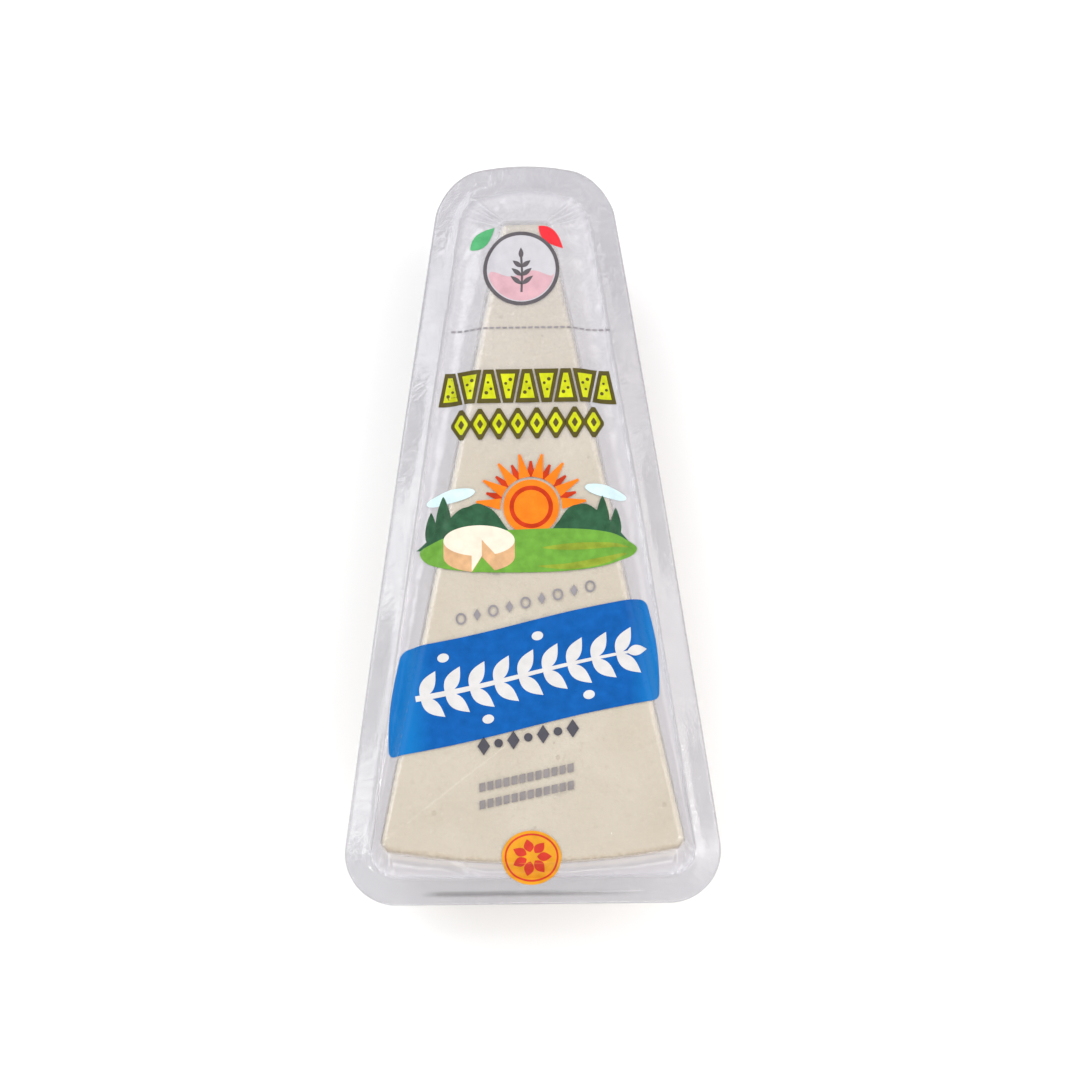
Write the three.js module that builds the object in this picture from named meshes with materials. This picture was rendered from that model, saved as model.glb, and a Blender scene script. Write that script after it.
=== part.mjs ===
// A wedge of hard sheep's milk cheese, vacuum sealed in a clear pack: a flat front film is welded all
// round to a formed pocket that hugs the wedge. The pack lies on its back with the front up.
// Millimetres. X runs across the pack, +Y towards its narrow tip and +Z up. The origin is the centre
// of the pack's length and width, on the surface that it lies on.
import * as THREE from "three";

// The cheese: one slice of a wheel, cut to a blunt tip, with the rind at the wide end.
const WHEEL_RADIUS = 174;
const WEDGE_HALF_ANGLE = THREE.MathUtils.degToRad(11.3);
const TIP_CUT = 27; // from the wheel's centre to the blunt tip
const WEDGE_THICKNESS = 31;
const WEDGE_HEEL_RADIUS = 2.2; // the wedge's upright corners at the rind
const WEDGE_TIP_RADIUS = 1.6;
const FRONT_EDGE_RADIUS = 1.1;
const BACK_EDGE_RADIUS = 2.4;
const SHARPEST_RADIUS = 0.5; // no corner of an outline is sharper than this

// The pack's cut edge: a trapezium with round corners and a slightly arched narrow end.
const PACK_LENGTH = 170;
const PACK_HEEL_WIDTH = 86.6; // between the sharp corners that the round ones replace
const PACK_TIP_WIDTH = 38.4;
const PACK_HEEL_RADIUS = 11.5;
const PACK_TIP_RADIUS = 10;
const PACK_TIP_ARCH = 3.6;
const PACK_SIDE_BOW = 0.5;
const HEEL_GAP = 8.6; // from the pack's wide edge to the middle of the rind

// The film: a flat weld runs round the edge, and loose web joins it to the wedge.
const FILM = 0.3;
const WELD_WIDTH = 5.5;
const WELD_THICKNESS = 0.8;
const WELD_DROP = 3.6; // from the front face down to the middle of the weld
const EDGE_DROOP = 0.7; // the cut edge hangs this much below the inside of the weld
const EDGE_WAVE = 0.5;
const EDGE_WAVE_LENGTH = 58; // along the pack
const EDGE_WAVE_BREADTH = 155; // across it
const WEB_DEPTH = 10; // from the weld down to where the pocket meets the wedge's side
const WEB_SAG = 1.7; // over 1, the front web falls steeply from the wedge and flattens to the weld
const POCKET_DRAFT = 0.7; // the pocket is this much slimmer all round at the back

// Creases in the web: pleats fan out at each corner, and one long fold crosses the wide end.
const CORNER_PLEATS = 3;
const PLEAT_RISE = 0.8;
const HEEL_FOLD = {
  start: new THREE.Vector2(-25, -72),
  end: new THREE.Vector2(-11, -80),
  rise: 0.8,
  halfWidth: 1.5,
};

// How finely the outline is divided: [heel, right side, tip, left side] and their corners.
const EDGE_STEPS = [16, 14, 6, 14];
const CORNER_STEPS = [12, 12, 9, 9];
const WEB_STEPS = 6;
const ROUND_STEPS = 3;

const packDepth = WEDGE_THICKNESS + 2 * FILM;
const weldZ = packDepth - WELD_DROP;
const wheelCentreY = HEEL_GAP - PACK_LENGTH / 2 + WHEEL_RADIUS;

const packEdge = {
  heelY: -PACK_LENGTH / 2,
  tipY: PACK_LENGTH / 2 - PACK_TIP_ARCH,
  heelHalf: PACK_HEEL_WIDTH / 2,
  tipHalf: PACK_TIP_WIDTH / 2,
  heelRadius: PACK_HEEL_RADIUS,
  tipRadius: PACK_TIP_RADIUS,
  heelBulge: 0,
  tipBulge: PACK_TIP_ARCH,
  sideBow: PACK_SIDE_BOW,
};

const wedgeEdge = {
  heelY: wheelCentreY - WHEEL_RADIUS * Math.cos(WEDGE_HALF_ANGLE),
  tipY: wheelCentreY - TIP_CUT,
  heelHalf: WHEEL_RADIUS * Math.sin(WEDGE_HALF_ANGLE),
  tipHalf: TIP_CUT * Math.tan(WEDGE_HALF_ANGLE),
  heelRadius: WEDGE_HEEL_RADIUS,
  tipRadius: WEDGE_TIP_RADIUS,
  heelBulge: WHEEL_RADIUS * (1 - Math.cos(WEDGE_HALF_ANGLE)),
  tipBulge: 0,
  sideBow: 0,
};

// The same outline with every edge moved in by a distance.
function inset(edge, distance) {
  const taper = (edge.heelHalf - edge.tipHalf) / (edge.tipY - edge.heelY);
  const sideShift = distance * Math.hypot(1, taper);
  const heelY = edge.heelY + distance;
  const tipY = edge.tipY - distance;
  const halfAt = (y) => edge.heelHalf - taper * (y - edge.heelY) - sideShift;
  return {
    ...edge,
    heelY,
    tipY,
    heelHalf: halfAt(heelY),
    tipHalf: halfAt(tipY),
    heelRadius: Math.max(edge.heelRadius - distance, SHARPEST_RADIUS),
    tipRadius: Math.max(edge.tipRadius - distance, SHARPEST_RADIUS),
  };
}

// Points round one corner, on the arc that touches both of its edges.
function roundCorner(before, corner, after, radius, steps) {
  const back = before.clone().sub(corner).normalize();
  const onward = after.clone().sub(corner).normalize();
  const halfAngle = Math.acos(back.dot(onward)) / 2;
  const start = corner.clone().addScaledVector(back, radius / Math.tan(halfAngle));
  const middle = back.clone().add(onward).normalize();
  const centre = corner.clone().addScaledVector(middle, radius / Math.sin(halfAngle));
  const turn = Math.PI - 2 * halfAngle;
  const points = [];
  for (let step = 0; step <= steps; step += 1) {
    points.push(start.clone().rotateAround(centre, (turn * step) / steps));
  }
  return points;
}

// The whole outline, anticlockwise from the left heel corner, with the same number of points for
// any edge, so that outlines inside each other are joined point to point.
function outline(edge) {
  const corners = [
    new THREE.Vector2(-edge.heelHalf, edge.heelY),
    new THREE.Vector2(edge.heelHalf, edge.heelY),
    new THREE.Vector2(edge.tipHalf, edge.tipY),
    new THREE.Vector2(-edge.tipHalf, edge.tipY),
  ];
  const radii = [edge.heelRadius, edge.heelRadius, edge.tipRadius, edge.tipRadius];
  const arcs = corners.map((corner, k) =>
    roundCorner(corners[(k + 3) % 4], corner, corners[(k + 1) % 4], radii[k], CORNER_STEPS[k]),
  );
  const points = [];
  arcs.forEach((arc, k) => {
    const straightEnd = arcs[(k + 1) % 4][0];
    points.push(...arc);
    for (let step = 1; step < EDGE_STEPS[k]; step += 1) {
      points.push(arc.at(-1).clone().lerp(straightEnd, step / EDGE_STEPS[k]));
    }
  });
  const middleY = (edge.heelY + edge.tipY) / 2;
  const halfLength = (edge.tipY - edge.heelY) / 2;
  for (const point of points) {
    const atHeel = point.y < middleY;
    const half = atHeel ? edge.heelHalf : edge.tipHalf;
    const arch = Math.max(0, 1 - (point.x / half) ** 2);
    const bow = 1 - ((point.y - middleY) / halfLength) ** 2;
    point.y += atHeel ? -edge.heelBulge * arch : edge.tipBulge * arch;
    point.x += Math.sign(point.x) * edge.sideBow * bow;
  }
  return points;
}

// How far each point of an outline lies within the pleats of its corner, from 0 to 1.
function pleatShares() {
  const shares = [];
  CORNER_STEPS.forEach((steps, k) => {
    for (let step = 0; step <= steps; step += 1) {
      shares.push(Math.sin((Math.PI * CORNER_PLEATS * step) / steps) ** 2);
    }
    for (let step = 1; step < EDGE_STEPS[k]; step += 1) shares.push(0);
  });
  return shares;
}

// Height of the long fold at a place on the web.
function foldHeight(place) {
  const along = HEEL_FOLD.end.clone().sub(HEEL_FOLD.start);
  const share = place.clone().sub(HEEL_FOLD.start).dot(along) / along.lengthSq();
  const nearest = HEEL_FOLD.start.clone().addScaledVector(along, THREE.MathUtils.clamp(share, 0, 1));
  return HEEL_FOLD.rise * Math.exp(-((place.distanceTo(nearest) / HEEL_FOLD.halfWidth) ** 2));
}

// The cut edge ripples gently up and down round the pack.
function edgeRipple(place) {
  const turns = place.y / EDGE_WAVE_LENGTH + place.x / EDGE_WAVE_BREADTH;
  return EDGE_WAVE * Math.sin(2 * Math.PI * turns) - EDGE_DROOP;
}

// The pack's skin as rings of points, from the front face over the weld to the back.
function packRings() {
  const wedge = outline(wedgeEdge);
  const weldInside = outline(inset(packEdge, WELD_WIDTH));
  const cutEdge = outline(packEdge);
  const pleats = pleatShares();
  const rings = [];
  const addFlat = (edge, z) => rings.push(outline(edge).map((p) => new THREE.Vector3(p.x, p.y, z)));

  // The front face and its edge, where the film bends over the wedge.
  for (let step = 0; step <= ROUND_STEPS; step += 1) {
    const angle = (Math.PI / 2) * (step / (ROUND_STEPS + 1));
    const reach = FRONT_EDGE_RADIUS * (1 - Math.sin(angle));
    addFlat(inset(wedgeEdge, reach), packDepth - FRONT_EDGE_RADIUS * (1 - Math.cos(angle)));
  }
  const bendZ = rings.at(-1)[0].z;

  const creaseAt = (i, place, share) =>
    Math.sin(Math.PI * share) * (PLEAT_RISE * pleats[i] + foldHeight(place));

  // The front web, from the wedge down to the inside of the weld.
  const weldTop = weldZ + WELD_THICKNESS / 2;
  for (let step = 1; step <= WEB_STEPS; step += 1) {
    const share = step / WEB_STEPS;
    rings.push(
      wedge.map((point, i) => {
        const place = point.clone().lerp(weldInside[i], share);
        const z = weldTop + (bendZ - weldTop) * (1 - share) ** WEB_SAG + creaseAt(i, place, share);
        return new THREE.Vector3(place.x, place.y, z);
      }),
    );
  }

  // The weld, out to the cut edge and back underneath.
  for (const side of [1, -1]) {
    rings.push(
      cutEdge.map(
        (p) => new THREE.Vector3(p.x, p.y, weldZ + (side * WELD_THICKNESS) / 2 + edgeRipple(p)),
      ),
    );
  }

  // The pocket's web curves in from the weld until it runs down the wedge's side.
  const weldUnder = weldZ - WELD_THICKNESS / 2;
  for (let step = 0; step <= WEB_STEPS; step += 1) {
    const angle = (Math.PI / 2) * (step / WEB_STEPS);
    const share = 1 - Math.sin(angle);
    rings.push(
      wedge.map((point, i) => {
        const place = point.clone().lerp(weldInside[i], share);
        const z = weldUnder - WEB_DEPTH * (1 - Math.cos(angle)) + creaseAt(i, place, share);
        return new THREE.Vector3(place.x, place.y, z);
      }),
    );
  }

  // The back edge, rounded, and the flat back.
  for (let step = 0; step <= ROUND_STEPS + 1; step += 1) {
    const angle = (Math.PI / 2) * (step / (ROUND_STEPS + 1));
    const reach = POCKET_DRAFT + BACK_EDGE_RADIUS * (1 - Math.cos(angle));
    addFlat(inset(wedgeEdge, reach), BACK_EDGE_RADIUS * (1 - Math.sin(angle)));
  }
  return rings;
}

// Joins the rings to one closed skin, with a flat cap on the first and on the last.
function skin(rings) {
  const count = rings[0].length;
  const index = [];
  for (let r = 0; r + 1 < rings.length; r += 1) {
    for (let i = 0; i < count; i += 1) {
      const next = (i + 1) % count;
      const here = r * count;
      const outer = here + count;
      index.push(here + i, outer + i, outer + next, here + i, outer + next, here + next);
    }
  }
  const cap = (r) =>
    THREE.ShapeUtils.triangulateShape(
      rings[r].map((p) => new THREE.Vector2(p.x, p.y)),
      [],
    ).map((face) => face.map((i) => r * count + i));
  index.push(...cap(0).flat());
  index.push(...cap(rings.length - 1).flatMap(([a, b, c]) => [a, c, b]));
  const geometry = new THREE.BufferGeometry().setFromPoints(rings.flat());
  geometry.setIndex(index);
  geometry.computeVertexNormals();
  return geometry;
}

function sealedPack() {
  const film = new THREE.MeshStandardMaterial({ color: 0xe4ddd0, roughness: 0.28, metalness: 0 });
  const pack = new THREE.Mesh(skin(packRings()), film);
  pack.name = "sealed_pack";
  return pack;
}

const cheesePack = new THREE.Group();
cheesePack.add(sealedPack());

export default cheesePack;
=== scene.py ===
import math

import bmesh
import bpy
import numpy as np
from mathutils import Matrix, Vector, noise
from mathutils.geometry import delaunay_2d_cdt


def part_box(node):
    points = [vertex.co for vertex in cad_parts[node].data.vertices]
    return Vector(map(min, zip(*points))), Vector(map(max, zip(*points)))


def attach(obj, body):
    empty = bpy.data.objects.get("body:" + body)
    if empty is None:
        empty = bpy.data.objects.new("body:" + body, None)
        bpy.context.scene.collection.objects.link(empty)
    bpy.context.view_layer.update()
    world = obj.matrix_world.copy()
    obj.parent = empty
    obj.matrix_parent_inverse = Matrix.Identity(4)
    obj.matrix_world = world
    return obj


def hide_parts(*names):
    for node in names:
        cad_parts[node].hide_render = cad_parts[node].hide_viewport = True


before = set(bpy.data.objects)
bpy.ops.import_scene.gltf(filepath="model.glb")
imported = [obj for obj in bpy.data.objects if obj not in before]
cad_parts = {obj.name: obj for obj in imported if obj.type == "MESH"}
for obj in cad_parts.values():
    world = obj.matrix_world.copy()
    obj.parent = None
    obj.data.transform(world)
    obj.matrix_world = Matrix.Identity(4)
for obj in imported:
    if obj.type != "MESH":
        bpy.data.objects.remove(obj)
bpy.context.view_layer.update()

# ==== The wedge of cheese ====
# One slice of a wheel of hard sheep's milk cheese, cut with a wire on five sides and closed at the
# wide end by the wheel's own rind. The paste is ivory, dry and granular, and its edges crumble.
# Shapes are worked out in millimetres and turned to metres when their mesh is made.
MM = 0.001
pack_low, pack_high = (np.array(corner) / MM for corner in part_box("sealed_pack"))
PACK_LENGTH = pack_high[1] - pack_low[1]
PACK_DEPTH = pack_high[2]
HEEL_GAP = 8.6  # from the pack's wide edge to the middle of the rind
WHEEL_RADIUS = 174.0
WHEEL_CENTRE_Y = HEEL_GAP - PACK_LENGTH / 2 + WHEEL_RADIUS
WEDGE_HALF_ANGLE = math.radians(11.3)
TIP_CUT = 27.0
FILM_OVER_WEDGE = 0.40  # the front of the wedge lies this far below the top of the pack
FILM_UNDER_WEDGE = 0.28
FILM_ROUND_WEDGE = 0.3
EDGE_RADIUS = 1.0
WEDGE_DRAFT = 0.95  # the wedge is squeezed this much slimmer all round at its back

wedge_edge = {
    "heel_y": WHEEL_CENTRE_Y - WHEEL_RADIUS * math.cos(WEDGE_HALF_ANGLE),
    "tip_y": WHEEL_CENTRE_Y - TIP_CUT,
    "heel_half": WHEEL_RADIUS * math.sin(WEDGE_HALF_ANGLE),
    "tip_half": TIP_CUT * math.tan(WEDGE_HALF_ANGLE),
    "heel_radius": 2.2,
    "tip_radius": 1.6,
    "heel_bulge": WHEEL_RADIUS * (1 - math.cos(WEDGE_HALF_ANGLE)),
    "tip_bulge": 0.0,
    "side_bow": 0.0,
}


def inset(edge, distance):
    """The same tapered outline with every edge moved in by a distance."""
    taper = (edge["heel_half"] - edge["tip_half"]) / (edge["tip_y"] - edge["heel_y"])
    side_shift = distance * math.hypot(1, taper)
    heel_y, tip_y = edge["heel_y"] + distance, edge["tip_y"] - distance
    moved = {"heel_y": heel_y, "tip_y": tip_y}
    for name, y in (("heel_half", heel_y), ("tip_half", tip_y)):
        moved[name] = edge["heel_half"] - taper * (y - edge["heel_y"]) - side_shift
    for name in ("heel_radius", "tip_radius"):
        moved[name] = max(edge[name] - distance, 0.5)
    return {**edge, **moved}


EDGE_STEPS = (96, 176, 26, 176)  # heel, right side, tip, left side
CORNER_STEPS = (34, 34, 24, 24)


def unit(arrow):
    """The arrow of length 1 that points the same way."""
    return arrow / np.linalg.norm(arrow)


def outline(edge):
    """Points round a tapered outline, anticlockwise from its left heel corner, always as many."""
    ends = (("heel", -1), ("heel", 1), ("tip", 1), ("tip", -1))
    corners = np.array([(side * edge[end + "_half"], edge[end + "_y"]) for end, side in ends])
    radii = [edge[end + "_radius"] for end, _ in ends]
    arcs = []
    for k, corner in enumerate(corners):
        back, onward = unit(corners[k - 1] - corner), unit(corners[(k + 1) % 4] - corner)
        half_angle = math.acos(back @ onward) / 2
        start = corner + back * radii[k] / math.tan(half_angle)
        middle = unit(back + onward)
        centre = corner + middle * radii[k] / math.sin(half_angle)
        turns = np.linspace(0, math.pi - 2 * half_angle, CORNER_STEPS[k] + 1)[:, None]
        spoke = start - centre
        across = np.array((-spoke[1], spoke[0]))
        arcs.append(centre + spoke * np.cos(turns) + across * np.sin(turns))
    pieces = []
    for k, arc in enumerate(arcs):
        shares = np.linspace(0, 1, EDGE_STEPS[k] + 1)[1:-1, None]
        pieces += [arc, arc[-1] + (arcs[(k + 1) % 4][0] - arc[-1]) * shares]
    points = np.concatenate(pieces)
    middle_y, half_length = (edge["heel_y"] + edge["tip_y"]) / 2, (edge["tip_y"] - edge["heel_y"]) / 2
    at_heel = points[:, 1] < middle_y
    half = np.where(at_heel, edge["heel_half"], edge["tip_half"])
    bulge = np.where(at_heel, -edge["heel_bulge"], edge["tip_bulge"])
    bow = edge["side_bow"] * (1 - ((points[:, 1] - middle_y) / half_length) ** 2)
    points[:, 1] += bulge * np.maximum(0, 1 - (points[:, 0] / half) ** 2)
    points[:, 0] += np.sign(points[:, 0]) * bow
    return points


def at_height(points, z):
    """Points of the plane as points of space, at one height or at a height for each."""
    return np.column_stack([points, np.broadcast_to(z, len(points))])


def level_ring(edge, distance, z):
    """A level ring of points round a tapered outline whose edges are moved in by a distance."""
    return at_height(outline(inset(edge, distance)), z)


def face_rings(edge, z, steps):
    """Rings that fill a flat tapered face, from its middle line out to its edge."""
    rim = outline(edge)
    low, high = edge["heel_y"] + 0.8 * edge["heel_half"], edge["tip_y"] - edge["tip_half"]
    spine = np.column_stack([np.zeros(len(rim)), np.clip(rim[:, 1], low, high)])
    return [at_height(spine + (rim - spine) * share, z) for share in np.linspace(0, 1, steps + 1)]


def mesh_from_rings(name, rings, places=()):
    """A mesh skinned over rings of points. A ring that has shrunk to a line is closed along it.

    Its points keep the place of their ring, if places are given, as an attribute of the mesh.
    """
    count = len(rings[0])
    first = np.arange(count)
    after = np.roll(first, -1)
    strips = [
        np.column_stack([first, first + count, after + count, after]) + r * count
        for r in range(len(rings) - 1)
    ]
    mesh = bpy.data.meshes.new(name)
    mesh.from_pydata((np.concatenate(rings) * MM).tolist(), [], np.concatenate(strips).tolist())
    if len(places):
        mesh.attributes.new("place", "FLOAT", "POINT").data.foreach_set("value", np.repeat(places, count))
    form = bmesh.new()
    form.from_mesh(mesh)
    bmesh.ops.remove_doubles(form, verts=form.verts, dist=1e-7)
    form.to_mesh(mesh)
    form.free()
    mesh.shade_smooth()
    return mesh


def unevenness(points, size, octaves=3, seed=0):
    """A smooth random value for each point, about -1 to 1, with features of a size in millimetres."""
    shift = Vector((37.1 * seed, 11.7 * seed, 5.3 * seed))
    return np.array([noise.fractal(Vector(p) / size + shift, 1.0, 2.0, octaves) for p in points])


def points_and_normals(mesh):
    """The mesh's points, in millimetres, and the direction that each one faces."""
    count = len(mesh.vertices)
    points, normals = np.empty(3 * count), np.empty(3 * count)
    mesh.vertices.foreach_get("co", points)
    mesh.vertices.foreach_get("normal", normals)
    return points.reshape(-1, 3) / MM, normals.reshape(-1, 3)


def move_points(mesh, points):
    mesh.vertices.foreach_set("co", (points * MM).ravel())
    mesh.update()


FACE_STEPS = 38
SIDE_STEPS = 26
ROUND_STEPS = 4
rounding = np.linspace(0, math.pi / 2, ROUND_STEPS + 1)[1:]  # the angles of a small round edge
front_z, back_z = PACK_DEPTH - FILM_OVER_WEDGE, FILM_UNDER_WEDGE


def wedge_mesh():
    """The wedge with small round edges, before it crumbles."""
    body = inset(wedge_edge, FILM_ROUND_WEDGE)
    back_body = inset(body, WEDGE_DRAFT)
    rings = face_rings(inset(body, EDGE_RADIUS), front_z, FACE_STEPS)
    for angle in rounding:
        z = front_z - EDGE_RADIUS * (1 - math.cos(angle))
        rings.append(level_ring(body, EDGE_RADIUS * (1 - math.sin(angle)), z))
    for z in np.linspace(front_z - EDGE_RADIUS, back_z + EDGE_RADIUS, SIDE_STEPS + 1)[1:]:
        rings.append(level_ring(body, WEDGE_DRAFT * (front_z - z) / front_z, z))
    for angle in rounding:
        z = back_z + EDGE_RADIUS * (1 - math.sin(angle))
        rings.append(level_ring(back_body, EDGE_RADIUS * (1 - math.cos(angle)), z))
    rings += face_rings(inset(back_body, EDGE_RADIUS), back_z, FACE_STEPS)[-2::-1]
    return mesh_from_rings("cheese_wedge", rings)


GRAIN_SIZE, GRAIN_DEPTH = 1.6, 0.10
SWELL_SIZE, SWELL_DEPTH = 21, 0.16
CHIP_SIZE, CHIP_DEPTH = 3.4, 0.9
RIND_DEPTH, RIND_FADE = 0.8, 2.0
RIND_RELIEF = 0.25  # the rind has this share of the relief
SHARP_EDGE = 0.28  # how far from flat a place is that can chip in full
EYES_PER_FACE = 34
EYE_RADIUS = (0.5, 1.5)
EYE_DEPTH = 0.45  # as a share of its radius


def crumble(mesh):
    """Gives the cut faces their grain and small eyes, and chips the edges. The rind stays even."""
    points, normals = points_and_normals(mesh)
    from_centre = np.hypot(points[:, 0], points[:, 1] - WHEEL_CENTRE_Y)
    paste = np.clip((WHEEL_RADIUS - RIND_DEPTH - from_centre) / RIND_FADE, RIND_RELIEF, 1)
    on_edge = np.clip((1 - np.abs(normals).max(axis=1)) / SHARP_EDGE, 0, 1)
    depth = GRAIN_DEPTH * np.abs(unevenness(points, GRAIN_SIZE, 3, 1))
    depth += SWELL_DEPTH * np.abs(unevenness(points, SWELL_SIZE, 2, 2))
    depth += on_edge * CHIP_DEPTH * np.clip(unevenness(points, CHIP_SIZE, 3, 3) - 0.02, 0, 1)
    random = np.random.default_rng(11)
    for face_z in (front_z, back_z):
        on_face = np.abs(points[:, 2] - face_z) < EDGE_RADIUS / 2
        for _ in range(EYES_PER_FACE):
            y = random.uniform(wedge_edge["heel_y"] + 3, wedge_edge["tip_y"] - 4)
            reach = (WHEEL_CENTRE_Y - y) * math.tan(WEDGE_HALF_ANGLE) - 2
            x = random.uniform(-reach, reach)
            radius = random.uniform(*EYE_RADIUS)
            away = np.hypot(points[:, 0] - x, points[:, 1] - y)
            depth += on_face * EYE_DEPTH * radius * np.exp(-((away / radius) ** 2))
    move_points(mesh, points - normals * (depth * paste)[:, None])


def paint(red, green, blue):
    """A colour as the eye reads it, from 0 to 255, as the light it sends back."""
    shares = np.array((red, green, blue)) / 255
    return (*np.where(shares <= 0.04045, shares / 12.92, ((shares + 0.055) / 1.055) ** 2.4), 1.0)


def add_node(tree, kind, inputs, settings):
    """A new node in a tree. Each input is a plain value or an output of another node."""
    node = tree.nodes.new(kind)
    for name, value in settings.items():
        setattr(node, name, value)
    for name, value in dict(inputs).items():
        if isinstance(value, bpy.types.NodeSocket):
            tree.links.new(value, node.inputs[name])
        else:
            node.inputs[name].default_value = value
    return node


class Finish:
    """A material under way: adds shader nodes by kind, sets their values and wires them."""

    def __init__(self, name):
        self.material = bpy.data.materials.new(name)
        self.material.use_nodes = True
        self.tree = self.material.node_tree
        self.tree.nodes.clear()
        self.place = self.add("TexCoord").outputs["Object"]

    def add(self, kind, inputs=(), **settings):
        return add_node(self.tree, "ShaderNode" + kind, inputs, settings)

    def cloud(self, size, detail=3.0, distortion=0.0):
        """Soft noise with features of a size in millimetres."""
        inputs = {"Vector": self.place, "Scale": 1 / (size * MM), "Detail": detail, "Distortion": distortion}
        return self.add("TexNoise", inputs).outputs["Fac"]

    def spots(self, spacing):
        """The distance from the nearest of many scattered spots, a spacing in millimetres apart."""
        inputs = {"Vector": self.place, "Scale": 1 / (spacing * MM)}
        return self.add("TexVoronoi", inputs).outputs["Distance"]

    def between(self, factor, low, high, least=0.0, most=1.0):
        """A number that goes from least to most as the factor goes from low to high."""
        inputs = {"Value": factor, "From Min": low, "From Max": high, "To Min": least, "To Max": most}
        return self.add("MapRange", inputs).outputs["Result"]

    def blend(self, factor, first, second):
        """Two colours mixed by a factor."""
        return self.add("Mix", {0: factor, 6: first, 7: second}, data_type="RGBA").outputs[2]

    def maths(self, operation, *values):
        return self.add("Math", dict(enumerate(values)), operation=operation).outputs[0]

    def relief(self, height, depth, strength=1.0, under=None):
        """A bump of a depth in millimetres."""
        inputs = {"Height": height, "Distance": depth * MM, "Strength": strength}
        if under is not None:
            inputs["Normal"] = under
        return self.add("Bump", inputs).outputs["Normal"]

    def done(self, shader):
        self.add("OutputMaterial", {"Surface": shader.outputs[0]})
        return self.material


CHEESE_PALE = paint(233, 222, 199)
CHEESE_DEEP = paint(221, 208, 181)
# A darker tone for the grain and the crumbs, also painted into the pores as painted shade.
CHEESE_DARK_TONE_AND_PIT_SHADE = paint(201, 185, 156)
CHEESE_CRYSTAL = paint(240, 234, 220)
CHEESE_UNDER_RIND = paint(226, 213, 187)
RIND_PALE = paint(232, 216, 186)
RIND_DEEP = paint(207, 184, 147)
PASTE_CLOUD, PASTE_GRAIN, FINE_GRAIN, RIND_SPECKLE = 20, 1.3, 0.45, 0.9
GRAIN_RELIEF, FINE_RELIEF = 0.45, 0.10
CRYSTAL_SPACING, CRYSTAL_SIZE = 2.6, (0.06, 0.11)
PORE_SPACING, PORE_SIZE = 3.7, 0.17
RAGGED_SIZE, RAGGED_REACH = 5, 1.6
UNDER_RIND, RIND = (-4.6, -0.4), (-0.6, 0.3)  # where they fade in, from the wheel's edge


def cheese_finish():
    """Ivory paste with a fine dry grain and pale crystals, darkening to a straw rind. Its pores are painted
    darker, as painted shade in the pits.
    """
    finish = Finish("sheeps_milk_cheese")
    broad = finish.cloud(PASTE_CLOUD, 3, distortion=0.6)
    grain = finish.cloud(PASTE_GRAIN, 4)
    paste = finish.blend(finish.between(broad, 0.3, 0.7), CHEESE_DEEP, CHEESE_PALE)
    paste = finish.blend(finish.between(grain, 0.56, 0.75, 0, 0.35), paste, CHEESE_DARK_TONE_AND_PIT_SHADE)
    crystal = finish.between(finish.spots(CRYSTAL_SPACING), *CRYSTAL_SIZE, 0.55, 0)
    paste = finish.blend(crystal, paste, CHEESE_CRYSTAL)
    pore_size = finish.between(finish.cloud(7, 2), 0.45, 0.7, 0.0, PORE_SIZE)
    pore = finish.maths("LESS_THAN", finish.spots(PORE_SPACING), pore_size)
    # The pores are painted darker: painted shade in the pits.
    paste = finish.blend(finish.maths("MULTIPLY", pore, 0.6), paste, CHEESE_DARK_TONE_AND_PIT_SHADE)
    flat = finish.add("VectorMath", {0: finish.place, 1: (1, 1, 0)}, operation="MULTIPLY")
    centre = (0, WHEEL_CENTRE_Y * MM, 0)
    spoke = finish.add("VectorMath", {0: flat.outputs[0], 1: centre}, operation="DISTANCE").outputs["Value"]
    ragged = finish.maths("MULTIPLY_ADD", finish.cloud(RAGGED_SIZE, 3), RAGGED_REACH * MM, spoke)
    under_rind, rind = (
        finish.between(ragged, (WHEEL_RADIUS + start) * MM, (WHEEL_RADIUS + end) * MM)
        for start, end in (UNDER_RIND, RIND)
    )
    paste = finish.blend(finish.maths("MULTIPLY", under_rind, 0.75), paste, CHEESE_UNDER_RIND)
    speckle = finish.between(finish.cloud(RIND_SPECKLE, 4), 0.35, 0.65)
    colour = finish.blend(rind, paste, finish.blend(speckle, RIND_DEEP, RIND_PALE))
    fine = finish.relief(finish.cloud(FINE_GRAIN, 3), FINE_RELIEF)
    pitted = finish.maths("SUBTRACT", grain, finish.maths("MULTIPLY", pore, 0.4))
    height = finish.relief(pitted, GRAIN_RELIEF, 0.8, fine)
    rough = finish.between(grain, 0.3, 0.7, 0.55, 0.72)
    inputs = {"Base Color": colour, "Roughness": rough, "Normal": height}
    return finish.done(finish.add("BsdfPrincipled", inputs))


def put_in_scene(name, data):
    """A new object in the scene, of a mesh, a light or a camera."""
    item = bpy.data.objects.new(name, data)
    bpy.context.scene.collection.objects.link(item)
    return item


def place_piece(mesh, *materials):
    """Puts a finished mesh in the scene, with its materials, moving with the one body there is."""
    for material in materials:
        mesh.materials.append(material)
    piece = put_in_scene(mesh.name, mesh)
    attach(piece, "root")
    return piece


wedge = wedge_mesh()
crumble(wedge)
cheese_wedge = place_piece(wedge, cheese_finish())
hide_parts("sealed_pack")

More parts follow.
